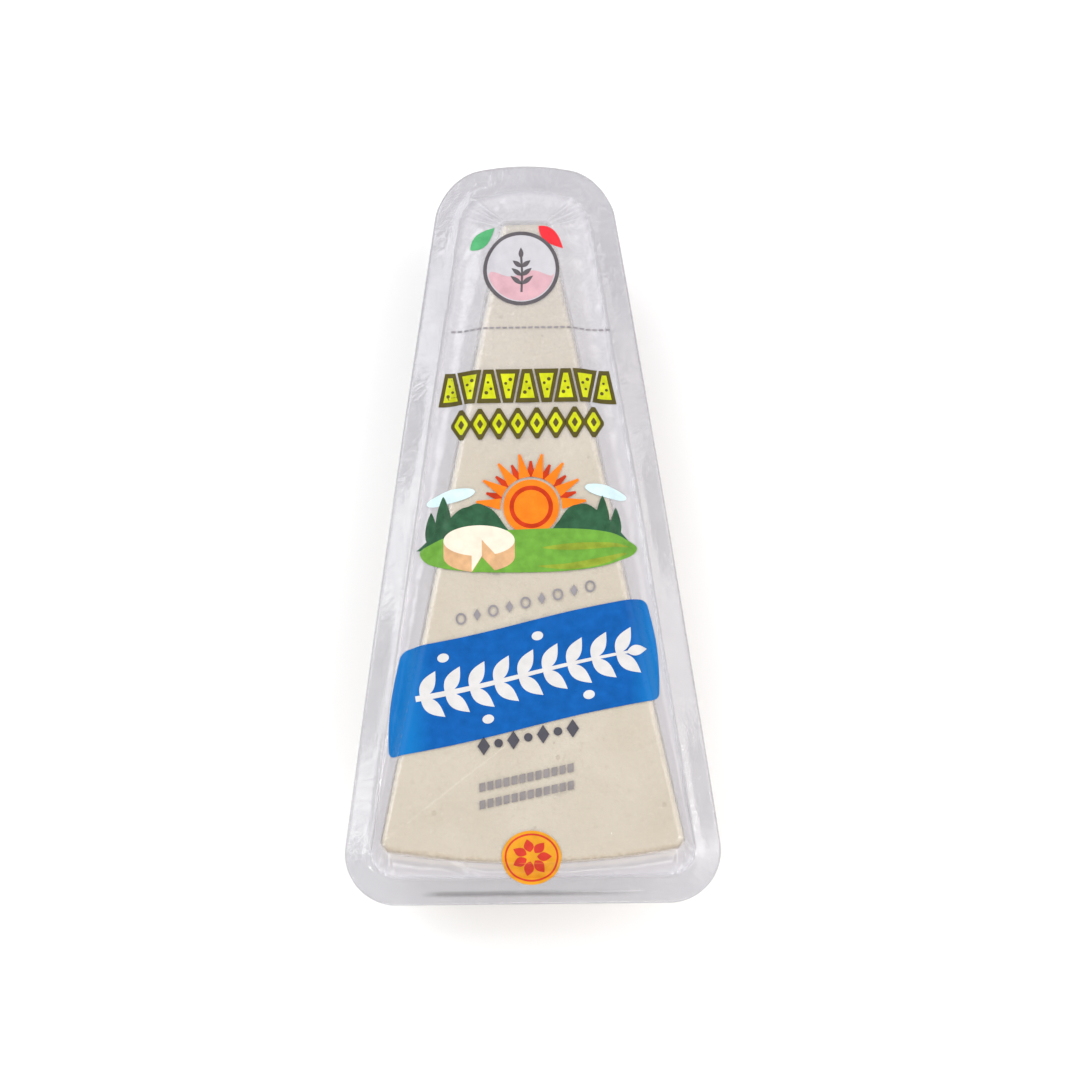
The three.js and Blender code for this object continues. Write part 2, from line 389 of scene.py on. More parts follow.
# ==== The formed pocket ====
# A clear film, drawn down into a pocket and pulled tight round the wedge by the vacuum. It runs out
# in a loose web to a flat weld, and the cut edge of the weld ripples a little.
PACK_HEEL_WIDTH = 86.6
PACK_TIP_WIDTH = 38.4
PACK_TIP_ARCH = 3.6
WELD_WIDTH = 5.5
WELD_DROP = 3.6
EDGE_DROOP = 0.7
EDGE_WAVE = 0.5
EDGE_WAVE_LENGTH = 58.0
EDGE_WAVE_BREADTH = 155.0
LIP_RISE, LIP_HALF_WIDTH = 0.28, 0.8
WEB_WIDTH, WEB_DEPTH = 7.0, 8.5
POCKET_DRAFT = 0.7
POCKET_FILM = 0.2
FILM_GAP = 0.02
WEB_RINGS = 13
WELD_PLACES = (0.05, 0.1, 0.16, 0.24, 0.36, 0.46, 0.52, 0.57, 0.62, 0.72, 0.86, 1.0)  # shares of the weld
GROOVE_PLACE, GROOVE_DEPTH, GROOVE_HALF_WIDTH = 0.57, 0.3, 0.4
GROOVE_FROM, GROOVE_TO, GROOVE_RAMP = -25.0, 27.0, 3.0  # along the wide end
GROOVE_LIMIT = -70.0  # the groove lies beyond this line
weld_z = PACK_DEPTH - WELD_DROP

pack_edge = {
    "heel_y": -PACK_LENGTH / 2,
    "tip_y": PACK_LENGTH / 2 - PACK_TIP_ARCH,
    "heel_half": PACK_HEEL_WIDTH / 2,
    "tip_half": PACK_TIP_WIDTH / 2,
    "heel_radius": 11.5,
    "tip_radius": 10.0,
    "heel_bulge": 0.0,
    "tip_bulge": PACK_TIP_ARCH,
    "side_bow": 0.5,
}
wedge_line = outline(wedge_edge)
weld_line = outline(inset(pack_edge, WELD_WIDTH))
cut_line = outline(pack_edge)
round_the_pack = np.cumsum(np.linalg.norm(cut_line - np.roll(cut_line, 1, axis=0), axis=1))


def edge_ripple(points):
    """The cut edge ripples gently up and down round the pack, and hangs a little."""
    turns = points[:, 1] / EDGE_WAVE_LENGTH + points[:, 0] / EDGE_WAVE_BREADTH
    return EDGE_WAVE * np.sin(2 * math.pi * turns) - EDGE_DROOP


def weld_lip(away):
    """Height of the small ridge on which the weld begins, by the distance from it."""
    return LIP_RISE * math.exp(-((away / LIP_HALF_WIDTH) ** 2))


def heel_groove(points, out):
    """Height of the fine groove that is pressed into the weld near the pack's wide edge."""
    away = (out - GROOVE_PLACE) * WELD_WIDTH / GROOVE_HALF_WIDTH
    ends = np.minimum(points[:, 0] - GROOVE_FROM, GROOVE_TO - points[:, 0]) / GROOVE_RAMP
    depth = GROOVE_DEPTH * math.exp(-(away**2)) * np.clip(ends, 0, 1)
    return np.where(points[:, 1] < GROOVE_LIMIT, -depth, 0)


def weld_rings(z):
    """The weld's rings at a height, from its inner line out to the cut edge."""
    rings = []
    for out in WELD_PLACES:
        ring = weld_line + (cut_line - weld_line) * out
        rise = out * edge_ripple(cut_line) + weld_lip(out * WELD_WIDTH) + heel_groove(ring, out)
        rings.append(at_height(ring, z + rise))
    return rings


def web_ring(share):
    """A ring at a share of the way from the wedge out to the weld."""
    return wedge_line + (weld_line - wedge_line) * share


CORNER_PLEATS, PLEAT_RISE = 3, 0.7
FOLD_START, FOLD_END = np.array((-25.0, -72.0)), np.array((-11.0, -80.0))
FOLD_RISE, FOLD_HALF_WIDTH = 0.9, 1.1
DRAWN_SIZE, DRAWN_RISE = 6.5, 0.22
CREASE_SIZE, CREASE_RISE = 6.0, 0.16
TIP_CREASE_RISE, TIP_CREASE_FROM, TIP_CREASE_TO = 0.3, 45.0, 75.0


def corner_pleats():
    """How far each point of an outline lies within the pleats of its corner, from 0 to 1."""
    shares = []
    for corner_steps, edge_steps in zip(CORNER_STEPS, EDGE_STEPS):
        across = np.arange(corner_steps + 1) / corner_steps
        shares += [np.sin(math.pi * CORNER_PLEATS * across) ** 2, np.zeros(edge_steps - 1)]
    return np.concatenate(shares)


pleats = corner_pleats()


def long_fold(points):
    """One long fold of the web crosses the wide end, at its left."""
    along = FOLD_END - FOLD_START
    shares = np.clip((points - FOLD_START) @ along / (along @ along), 0, 1)
    away = np.linalg.norm(points - FOLD_START - shares[:, None] * along, axis=1)
    return FOLD_RISE * np.exp(-((away / FOLD_HALF_WIDTH) ** 2))


def crinkle(points, size, seed):
    """Sharp-crested creases, from 0 in the hollows to 1 on the crests."""
    return (1 - np.minimum(np.abs(unevenness(points, size, 2, seed)) * 2.2, 1)) ** 2


def web_creases(points, share):
    """Height of all the creases in the web, which is 0 at share 0, the wedge, and at share 1, the weld."""
    across = np.column_stack([round_the_pack, np.full(len(points), 5.0 * share), np.zeros(len(points))])
    height = PLEAT_RISE * pleats + long_fold(points) + DRAWN_RISE * unevenness(across, DRAWN_SIZE, 2, 20)
    near_tip = np.clip((points[:, 1] - TIP_CREASE_FROM) / (TIP_CREASE_TO - TIP_CREASE_FROM), 0, 1)
    sharp = crinkle(at_height(points, 0), CREASE_SIZE, 21)
    return math.sin(math.pi * share) * (height + (CREASE_RISE + TIP_CREASE_RISE * near_tip) * sharp)


BACK_RADIUS = 1.4
SIDE_RINGS, BACK_RINGS = 16, 20


def pocket_mesh():
    """The pocket's outer face, from the cut edge in to the wedge, down its side and over its back."""
    under = weld_z - POCKET_FILM - FILM_GAP
    rings = weld_rings(under)[::-1]
    places = [1 + out for out in WELD_PLACES[::-1]]
    for angle in np.linspace(0, math.pi / 2, WEB_RINGS + 1):
        share = 1 - math.sin(angle)
        places.append(share)
        ring = web_ring(share)
        fall = WEB_DEPTH * (1 - math.cos(angle)) - weld_lip((1 - share) * WEB_WIDTH)
        rings.append(at_height(ring, under - fall + web_creases(ring, share)))
    side_top = under - WEB_DEPTH
    for z in np.linspace(side_top, BACK_RADIUS, SIDE_RINGS + 1)[1:]:
        rings.append(level_ring(wedge_edge, POCKET_DRAFT * (side_top - z) / (side_top - BACK_RADIUS), z))
    for angle in rounding:
        reach = POCKET_DRAFT + BACK_RADIUS * (1 - math.cos(angle))
        rings.append(level_ring(wedge_edge, reach, BACK_RADIUS * (1 - math.sin(angle))))
    rings += face_rings(inset(wedge_edge, POCKET_DRAFT + BACK_RADIUS), 0.0, BACK_RINGS)[-2::-1]
    places += [0.0] * (len(rings) - len(places))
    return mesh_from_rings("pocket_skin", rings, places)


WRINKLE_SIZE, WRINKLE_RISE = 9.0, 0.42
FOLLOW_SIZE, FOLLOW_RISE = 11.0, 0.14
PATCH_SIZE = 26.0
WRINKLE_TOP, WRINKLE_FOOT = (4, 5), (1, 4)  # where they begin, under the weld and over the back, and fade in


def wrinkle_pocket(mesh):
    """Fine upright wrinkles down the pocket's side, where the vacuum has pulled the film in."""
    points, normals = points_and_normals(mesh)
    below, above = weld_z - WRINKLE_TOP[0] - points[:, 2], points[:, 2] - WRINKLE_FOOT[0]
    on_side = np.clip(below / WRINKLE_TOP[1], 0, 1) * np.clip(above / WRINKLE_FOOT[1], 0, 1)
    patch = np.clip(0.5 + 1.4 * unevenness(points, PATCH_SIZE, 2, 33), 0.1, 1)
    height = WRINKLE_RISE * crinkle(points * (1, 1, 0.14), WRINKLE_SIZE, 31) * patch
    height += FOLLOW_RISE * crinkle(points * (1, 1, 0.5), FOLLOW_SIZE, 32)
    move_points(mesh, points + normals * (height * on_side)[:, None])


def modified(mesh, kind, settings, inputs=()):
    """The plain mesh that a modifier makes of a mesh, by its settings and the inputs of its nodes."""
    holder = put_in_scene("holder", mesh)
    step = holder.modifiers.new("step", kind)
    for name, value in settings.items():
        setattr(step, name, value)
    for name, value in dict(inputs).items():
        step[name] = value
    evaluated = holder.evaluated_get(bpy.context.evaluated_depsgraph_get())
    result = bpy.data.meshes.new_from_object(evaluated)
    bpy.data.objects.remove(holder)
    return result


def closed_film(name, skin, thickness):
    """Turns a skin into a closed film that lies behind the side it faces."""
    wall = {"thickness": thickness * MM, "offset": -1, "use_even_offset": True, "thickness_clamp": 0.9}
    film = modified(skin, "SOLIDIFY", wall)
    film.name = name
    return film


CLING_HAZE = 0.07
WEB_HAZE = 0.36
WELD_HAZE = 0.16
TIP_HAZE = 0.12
TIP_HAZE_FROM, TIP_HAZE_TO = 5.0, 60.0
SLANT_HAZE = 0.16
GLOSS = 0.045
SLANT_GLOSS = 0.6
WEB_MILK = paint(224, 222, 227)
WELD_MILK = paint(194, 192, 198)
FILM_TINT = (0.95, 0.95, 0.954, 1.0)
# Painted shade: along the pressed groove in the wide end's weld the film is painted a darker grey and made
# milkier, so that the groove reads as a dark line.
GROOVE_SHADE_HAZE = 0.058
GROOVE_PAINTED_SHADE = paint(110, 107, 112)
GROOVE_SHADE = (0.04, 0.15)  # the groove's shade is full and gone at these shares of the weld from it
GROOVE_FADES = (4.0, 24.0)  # and fades out over these lengths at its left and right ends
HEEL_WELD = (-75.0, -76.0)  # the wide end's weld begins here
STREAK_SIZE, STREAK_DEPTH = 3.0, 0.16
FINE_SIZE, FINE_DEPTH = 1.1, 0.02
POCKET_BLOTCH = 14


def film_finish(name, blotch_size):
    """Clear glossy packing film. It is clear where it lies on the cheese and milky where it is loose."""
    finish = Finish(name)
    across, along = finish.add("SeparateXYZ", {0: finish.place}).outputs[:2]
    place = finish.add("Attribute", attribute_name="place").outputs["Fac"]
    blotch = finish.cloud(blotch_size, 2)
    streak = finish.cloud(STREAK_SIZE, 3, distortion=2.5)
    loose = finish.between(place, 0.0, 0.08, CLING_HAZE, WEB_HAZE)
    welded = finish.between(place, 0.8, 1.0)
    weld_haze = finish.between(blotch, 0.32, 0.68, WELD_HAZE * 0.8, WELD_HAZE * 1.2)
    haze = finish.between(welded, 0.0, 1.0, loose, weld_haze)
    near_tip = finish.between(along, TIP_HAZE_FROM * MM, TIP_HAZE_TO * MM, 0, TIP_HAZE)
    drawn = finish.between(streak, 0.3, 0.7, 0.7, 1.3)
    haze = finish.maths("MULTIPLY_ADD", near_tip, drawn, haze)
    pulled = finish.relief(streak, STREAK_DEPTH, 0.6)
    surface = finish.relief(finish.cloud(FINE_SIZE, 1), FINE_DEPTH, 0.5, pulled)
    facing = finish.add("LayerWeight", {"Blend": 0.5, "Normal": surface}).outputs["Facing"]
    haze = finish.maths("MULTIPLY_ADD", finish.maths("POWER", facing, 2.0), SLANT_HAZE, haze)
    # A dark line of painted shade runs along the groove: the milk turns grey and the haze rises there.
    from_groove = finish.maths("ABSOLUTE", finish.maths("SUBTRACT", place, 1 + GROOVE_PLACE))
    painted_groove_shade = finish.between(from_groove, *GROOVE_SHADE, 1, 0)
    left_end, right_end = GROOVE_FROM + GROOVE_FADES[0], GROOVE_TO - GROOVE_FADES[1]
    fades = ((along, *HEEL_WELD), (across, GROOVE_TO, right_end), (across, GROOVE_FROM, left_end))
    for at, gone, full in fades:
        painted_groove_shade = finish.maths("MULTIPLY", painted_groove_shade, finish.between(at, gone * MM, full * MM))
    haze = finish.maths("MULTIPLY_ADD", painted_groove_shade, GROOVE_SHADE_HAZE, haze)
    rough = finish.between(blotch, 0.3, 0.7, 0.1, 0.2)
    milk = finish.blend(painted_groove_shade, finish.blend(welded, WEB_MILK, WELD_MILK), GROOVE_PAINTED_SHADE)
    body = finish.add("BsdfPrincipled", {"Base Color": milk, "Roughness": rough, "Normal": surface})
    gloss = finish.maths("MULTIPLY_ADD", finish.maths("POWER", facing, 5.0), SLANT_GLOSS, GLOSS)
    shine = finish.add("BsdfAnisotropic", {"Color": (1, 1, 1, 1), "Roughness": rough, "Normal": surface})
    clear = finish.add("BsdfTransparent", {"Color": FILM_TINT})
    sheet = finish.add("MixShader", {0: gloss, 1: clear.outputs[0], 2: shine.outputs[0]})
    factor = finish.maths("MINIMUM", haze, 0.9)
    return finish.done(finish.add("MixShader", {0: factor, 1: sheet.outputs[0], 2: body.outputs[0]}))


pocket = pocket_mesh()
wrinkle_pocket(pocket)
pocket = closed_film("pocket_film", pocket, POCKET_FILM)
pocket_film = place_piece(pocket, film_finish("pocket_film", POCKET_BLOTCH))

# ==== Crumbs ====
# Dry crumbs break from the edges when the wedge is cut and packed. They lie in the hollow that the
# two films leave all round the wedge.
CRUMB_COUNT = 34  # as a density, of which chance makes a few more
CRUMB_SCALES = (0.25, 0.75)
CRUMB_RADIUS, CRUMB_LUMPS, CRUMB_SQUASH = 0.8, 0.45, 0.7
LEDGE_REACHES = (0.7, 1.3, 1.9)  # out from the wedge
LEDGE_DROP, LEDGE_LIFT = 0.2, 0.75


def crumb_mesh():
    """One irregular crumb, about 1.6 mm across."""
    form = bmesh.new()
    bmesh.ops.create_icosphere(form, subdivisions=2, radius=CRUMB_RADIUS * MM)
    for point in form.verts:
        point.co *= 1 + CRUMB_LUMPS * noise.noise(point.co / MM * 1.3)
        point.co.z *= CRUMB_SQUASH
    crumb = bpy.data.meshes.new("crumb")
    form.to_mesh(crumb)
    form.free()
    return crumb


def crumb_ledge():
    """The narrow strip of the pocket, close to the wedge, on which the crumbs can lie."""
    rings = []
    for reach in LEDGE_REACHES:
        share = reach / np.linalg.norm(weld_line - wedge_line, axis=1)[:, None]
        angle = np.arcsin(1 - np.clip(share[:, 0], 0, 1))
        z = weld_z - LEDGE_DROP - WEB_DEPTH * (1 - np.cos(angle)) + LEDGE_LIFT
        rings.append(at_height(web_ring(share), z))
    return mesh_from_rings("crumb_ledge", rings)


class Tree:
    """A tree of geometry nodes under way, with named inputs and one mesh as its result."""

    def __init__(self, name, inputs):
        self.tree = bpy.data.node_groups.new(name, "GeometryNodeTree")
        self.inputs = {
            label: self.tree.interface.new_socket(label, in_out="INPUT", socket_type="NodeSocket" + kind)
            for label, kind in inputs.items()
        }
        self.tree.interface.new_socket("Mesh", in_out="OUTPUT", socket_type="NodeSocketGeometry")
        self.given = self.add("NodeGroupInput").outputs

    def add(self, kind, inputs=(), **settings):
        return add_node(self.tree, kind, inputs, settings)

    def copies(self, points, mark, **placing):
        """Real copies of a mark on points."""
        copies = {"Points": points, "Instance": mark, **placing}
        copies = self.add("GeometryNodeInstanceOnPoints", copies).outputs["Instances"]
        return self.add("GeometryNodeRealizeInstances", {"Geometry": copies}).outputs["Geometry"]

    def finish(self, mesh, material):
        """Ends the tree with its material."""
        finished = self.add("GeometryNodeSetMaterial", {"Geometry": mesh, "Material": material})
        self.add("NodeGroupOutput", {"Mesh": finished.outputs["Geometry"]})

    def run(self, mesh, values):
        """The plain mesh that the tree makes of a mesh and values for its named inputs."""
        inputs = {self.inputs[label].identifier: value for label, value in values.items()}
        return modified(mesh, "NODES", {"node_group": self.tree}, inputs)


def crumb_tree():
    """Strews crumbs over a ledge, each turned and sized by chance."""
    kinds = {"Ledge": "Geometry", "Crumb": "Object", "Density": "Float", "Least": "Float", "Most": "Float"}
    tree = Tree("crumbs_strewn", {**kinds, "Seed": "Int", "Finish": "Material"})
    given = tree.given
    strew = {"Mesh": given["Ledge"], "Density": given["Density"], "Seed": given["Seed"]}
    spots = tree.add("GeometryNodeDistributePointsOnFaces", strew).outputs["Points"]
    turns = {"Max": (2 * math.pi, 2 * math.pi, 2 * math.pi), "Seed": given["Seed"]}
    turn = tree.add("FunctionNodeRandomValue", turns, data_type="FLOAT_VECTOR").outputs["Value"]
    sizes = {2: given["Least"], 3: given["Most"], "Seed": given["Seed"]}
    size = tree.add("FunctionNodeRandomValue", sizes, data_type="FLOAT").outputs[1]
    crumb = tree.add("GeometryNodeObjectInfo", {"Object": given["Crumb"]}).outputs["Geometry"]
    tree.finish(tree.copies(spots, crumb, Rotation=turn, Scale=size), given["Finish"])
    return tree


def crumb_finish():
    """Dry ivory crumbs, browned a little in places."""
    finish = Finish("dry_crumb")
    colour = finish.blend(finish.between(finish.cloud(4, 2), 0.4, 0.6), CHEESE_DARK_TONE_AND_PIT_SHADE, CHEESE_PALE)
    inputs = {"Base Color": colour, "Roughness": 0.7, "Normal": finish.relief(finish.cloud(0.4, 3), 0.08)}
    return finish.done(finish.add("BsdfPrincipled", inputs))


crumb = bpy.data.objects.new("crumb", crumb_mesh())
ledge = crumb_ledge()
density = CRUMB_COUNT / sum(face.area for face in ledge.polygons)
least, most = CRUMB_SCALES
values = {"Crumb": crumb, "Density": density, "Least": least, "Most": most, "Seed": 7}
strewn = crumb_tree().run(ledge, {**values, "Finish": crumb_finish()})
strewn.name = "cheese_crumbs"
bpy.data.objects.remove(crumb)
cheese_crumbs = place_piece(strewn)

# ==== The front film ====
# A second clear film lies flat over the front of the wedge, bends over its edges and runs down to the
# weld. It carries the print, and it is crumpled where the pack narrows past the wedge's tip.
FILM_TOP = PACK_DEPTH - 0.16
BEND_RADIUS = 1.8
BEND_DROP, BEND_STEPS = 0.5, 6
WEB_SAG = 1.7
VALLEY = 0.7  # how far the vacuum has drawn the web down between the wedge and the weld
PLATEAU_RINGS = 34
FRONT_FILM, FRONT_BLOTCH = 0.14, 20


def front_mesh():
    """The front film's upper face, from the middle of the wedge out to the cut edge."""
    rings = face_rings(inset(wedge_edge, BEND_RADIUS), FILM_TOP, PLATEAU_RINGS)
    for share in np.linspace(0, 1, BEND_STEPS + 1)[1:]:
        rings.append(level_ring(wedge_edge, BEND_RADIUS * (1 - share), FILM_TOP - BEND_DROP * share**2))
    places = [0.0] * len(rings)
    top = weld_z + FRONT_FILM
    for share in np.linspace(0, 1, WEB_RINGS + 1)[1:]:
        ring = web_ring(share)
        fall = (FILM_TOP - BEND_DROP - top) * (1 - share) ** WEB_SAG - VALLEY * math.sin(math.pi * share) ** 2
        lip = weld_lip((1 - share) * WEB_WIDTH)
        rings.append(at_height(ring, top + fall + lip + web_creases(ring, share)))
        places.append(share)
    places += [1 + out for out in WELD_PLACES]
    return mesh_from_rings("front_skin", rings + weld_rings(top), places)


front = closed_film("front_film", front_mesh(), FRONT_FILM)
front_film = place_piece(front, film_finish("front_film", FRONT_BLOTCH))

# ==== The print: roundel ====
# Glossy inks lie on the front film, layer over layer. The topmost motif is a white roundel with a dark
# rim and a sprig, between a green and a red leaf. Each layer is a thin shell laid on the film.
INK_THICKNESS = 0.010
INK_LIFT = 0.045
INK_STEP = 0.012  # from a layer to the next
INK_GRID = 0.4
SLIVER = 1e-5  # faces with less than half this area are left out


def turned(points, degrees):
    angle = math.radians(degrees)
    swing = np.array(((math.cos(angle), math.sin(angle)), (-math.sin(angle), math.cos(angle))))
    return np.asarray(points) @ swing


def oval(x, y, half_width, half_height=None, turn=0.0, steps=48):
    angles = np.linspace(0, 2 * math.pi, steps, endpoint=False)
    half_height = half_width if half_height is None else half_height
    points = np.column_stack([half_width * np.cos(angles), half_height * np.sin(angles)])
    return turned(points, turn) + (x, y)


def leaf(x, y, length, width, turn):
    """A leaf that starts at a place and points along its turn."""
    shares = np.linspace(0, 1, 17)
    upper = np.column_stack([length * shares, width / 2 * np.sin(math.pi * shares**0.85)])
    return turned(np.concatenate([upper, upper[-2:0:-1] * (1, -1)]), turn) + (x, y)


def stroke(points, width):
    """A line drawn along points. Its width may be one number or one for each point."""
    points = np.asarray(points, float)
    along = np.gradient(points, axis=0)
    along /= np.linalg.norm(along, axis=1)[:, None]
    halves = np.broadcast_to(width, len(points))[:, None] / 2
    side = np.column_stack([-along[:, 1], along[:, 0]]) * halves
    return np.concatenate([points + side, (points - side)[::-1]])


def within(points, loops):
    """Which points lie inside an odd number of the loops."""
    odd = np.zeros(len(points), bool)
    for loop in loops:
        for (ax, ay), (bx, by) in zip(loop, np.roll(loop, -1, axis=0)):
            spans = (ay > points[:, 1]) != (by > points[:, 1])
            if ay != by:
                odd ^= spans & (points[:, 0] < ax + (points[:, 1] - ay) * (bx - ax) / (by - ay))
    return odd


def stepped(loop, grid=INK_GRID):
    """A loop with its points no further apart than the grid of the ink."""
    loop = np.asarray(loop, float)
    runs = []
    for start, end in zip(loop, np.roll(loop, -1, axis=0)):
        count = max(1, math.ceil(np.linalg.norm(end - start) / grid))
        runs.append(start + (end - start) * np.arange(count)[:, None] / count)
    return np.concatenate(runs)


def ink_shell(loops, layer, grid):
    """A thin flat closed shell within loops, at the height of its layer over the film."""
    loops = [stepped(loop, grid) for loop in loops]
    rim = np.concatenate(loops)
    edges, first = [], 0
    for loop in loops:
        edges += [(first + k, first + (k + 1) % len(loop)) for k in range(len(loop))]
        first += len(loop)
    low, high = rim.min(axis=0), rim.max(axis=0)
    places = np.meshgrid(*(np.arange(low[k], high[k], grid) for k in (0, 1)))
    inner = np.stack(places, axis=-1).reshape(-1, 2)
    inner = inner[within(inner, loops)]
    clear = [np.linalg.norm(rim - point, axis=1).min() > 0.4 * grid for point in inner]
    points = np.concatenate([rim, inner[np.array(clear, bool)]])
    points, _, faces, *_ = delaunay_2d_cdt([Vector(p) for p in points], edges, [], 0, 1e-6)
    points, faces = np.array(points), np.array(faces)
    faces = faces[within(points[faces].mean(axis=1), loops)]
    sides = points[faces]
    ahead, aside = sides[:, 1] - sides[:, 0], sides[:, 2] - sides[:, 0]
    turn = ahead[:, 0] * aside[:, 1] - ahead[:, 1] * aside[:, 0]
    faces[turn < 0] = faces[turn < 0][:, ::-1]
    used, faces = np.unique(faces[np.abs(turn) > SLIVER], return_inverse=True)
    points, faces = points[used], faces.reshape(-1, 3)
    rims = {(a, b) for face in faces.tolist() for a, b in zip(face, face[1:] + face[:1])}
    walls = [(a, b) for a, b in rims if (b, a) not in rims]
    count = len(points)
    bottom = INK_LIFT + layer * INK_STEP
    space = np.concatenate([at_height(points, bottom + INK_THICKNESS), at_height(points, bottom)])
    under = faces[:, ::-1] + count
    skirts = [(a + count, b + count, b, a) for a, b in sorted(walls)]
    mesh = bpy.data.meshes.new("ink")
    mesh.from_pydata((space * MM).tolist(), [], faces.tolist() + under.tolist() + skirts)
    return mesh


RAY_START, RAY_LENGTH = 80 * MM, 100 * MM  # from above the pack down through it


def printing_tree():
    """Repeats a mark along a line, lays every copy on the film and gives it its ink."""
    kinds = {"Mark": "Geometry", "Film": "Object", "Count": "Int", "Start": "Vector", "Step": "Vector"}
    tree = Tree("marks_on_film", {**kinds, "Turn": "Float", "Ink": "Material"})
    given = tree.given
    line = {"Count": given["Count"], "Start Location": given["Start"], "Offset": given["Step"]}
    spots = tree.add("GeometryNodeMeshLine", line).outputs["Mesh"]
    number = tree.add("GeometryNodeInputIndex").outputs[0]
    angle = tree.add("ShaderNodeMath", {0: number, 1: given["Turn"]}, operation="MULTIPLY")
    turn = tree.add("ShaderNodeCombineXYZ", {"Z": angle.outputs[0]}).outputs[0]
    marks = tree.copies(spots, given["Mark"], Rotation=turn)
    place = tree.add("ShaderNodeSeparateXYZ", {0: tree.add("GeometryNodeInputPosition").outputs[0]}).outputs
    flat = {"X": place["X"], "Y": place["Y"]}
    above = tree.add("ShaderNodeCombineXYZ", {**flat, "Z": RAY_START}).outputs[0]
    film = tree.add("GeometryNodeObjectInfo", {"Object": given["Film"]}).outputs["Geometry"]
    drop = {"Target Geometry": film, "Source Position": above, "Ray Direction": (0, 0, -1)}
    hit = tree.add("GeometryNodeRaycast", {**drop, "Ray Length": RAY_LENGTH}).outputs["Hit Position"]
    met = tree.add("ShaderNodeSeparateXYZ", {0: hit}).outputs["Z"]
    height = tree.add("ShaderNodeMath", {0: met, 1: place["Z"]}, operation="ADD").outputs[0]
    laid = tree.add("ShaderNodeCombineXYZ", {**flat, "Z": height}).outputs[0]
    moved = tree.add("GeometryNodeSetPosition", {"Geometry": marks, "Position": laid})
    tree.finish(moved.outputs["Geometry"], given["Ink"])
    return tree


printing = printing_tree()


def printed(loops, layer, ink, start=(0, 0), step=(0, 0), count=1, turn=0.0, grid=INK_GRID):
    """Marks in one ink, lying on the front film."""
    values = {
        "Film": front_film,
        "Count": count,
        "Start": (start[0] * MM, start[1] * MM, 0.0),
        "Step": (step[0] * MM, step[1] * MM, 0.0),
        "Turn": math.radians(turn),
        "Ink": ink,
    }
    return printing.run(ink_shell(loops, layer, grid), values)


def print_piece(name, *layers):
    """Joins the layers of a motif into one piece of print."""
    form, inks = bmesh.new(), []
    for mesh in layers:
        ink = mesh.materials[-1]
        if ink not in inks:
            inks.append(ink)
        mesh.polygons.foreach_set("material_index", [inks.index(ink)] * len(mesh.polygons))
        form.from_mesh(mesh)
    joined = bpy.data.meshes.new(name)
    form.to_mesh(joined)
    form.free()
    piece = place_piece(joined, *inks)
    return piece


COVER_SIZE, SHEEN_SIZE, DIMPLE_SIZE, DIMPLE_DEPTH = 2.2, 5, 0.8, 0.01
INK_GLOSS, INK_ROUGHNESS = 0.14, (0.24, 0.36)


def ink(name, colour, uneven=0.08, ends=None):
    """Glossy printing ink, laid down a little unevenly.

    Ends, if given, are a lighter colour that it takes near the pack's sides, a painted sheen where the film
    bends down over the wedge, and from and to how far out.
    """
    finish = Finish("ink_" + name)
    tone = paint(*colour)[:3]
    thin = (*(min(1.0, v * (1 + 1.6 * uneven) + 0.02 * uneven) for v in tone), 1.0)
    thick = (*(v * (1 - uneven) for v in tone), 1.0)
    shade = finish.blend(finish.between(finish.cloud(COVER_SIZE, 4), 0.3, 0.7), thick, thin)
    if ends:
        # A lighter tone is painted towards the pack's sides: a painted sheen where the film bends down.
        painted_sheen_tone, start, end = ends
        out = finish.maths("ABSOLUTE", finish.add("SeparateXYZ", {0: finish.place}).outputs["X"])
        shade = finish.blend(finish.between(out, start * MM, end * MM), shade, paint(*painted_sheen_tone))
    inputs = {
        "Base Color": shade,
        "Specular IOR Level": INK_GLOSS,
        "Roughness": finish.between(finish.cloud(SHEEN_SIZE, 3), 0.3, 0.7, *INK_ROUGHNESS),
        "Normal": finish.relief(finish.cloud(DIMPLE_SIZE, 3), DIMPLE_DEPTH, 0.5),
    }
    return finish.done(finish.add("BsdfPrincipled", inputs))


INK_WHITE = ink("white", (210, 208, 207), 0.04)
INK_CLOUDY = ink("cloudy_white", (194, 192, 197), 0.04)
INK_PINK = ink("pink", (203, 162, 170))
INK_CHARCOAL = ink("charcoal", (92, 88, 92))
INK_LEAF = ink("leaf_green", (84, 170, 112))
INK_RED = ink("red", (226, 48, 58))
ROUNDEL = (-1.0, 59.6)
ROUNDEL_RADIUS = 8.7
ROUNDEL_RIM = 0.85
PINK_INSET, PINK_LEVEL = 1.1, -1.2
SPRIG_FOOT, SPRIG_HEIGHT = -5.6, 9.2


def lower_part(x, y, radius, level):
    """The part of a disc below a wavy level."""
    start = math.asin(level / radius)
    angles = np.linspace(start, -math.pi - start, 40)
    half = radius * math.cos(start)
    across = np.linspace(-half, half, 30)[1:-1]
    wave = level + 0.7 * np.sin(across / half * 1.5 * math.pi)
    arc = np.column_stack([radius * np.cos(angles), radius * np.sin(angles)])
    return np.concatenate([arc, np.column_stack([across, wave])]) + (x, y)


def sprig(x, y, height):
    """A stem with pairs of small leaves."""
    stem = [stroke([(x, y), (x + 0.2, y + height * 0.5), (x, y + height)], 0.5)]
    for share in (0.2, 0.42, 0.64):
        for turn in (38, 142):
            stem.append(leaf(x + 0.1, y + height * share, 3.6 - 1.6 * share, 1.1, turn))
    return stem + [leaf(x, y + height * 0.86, 2.6, 1.1, 90)]


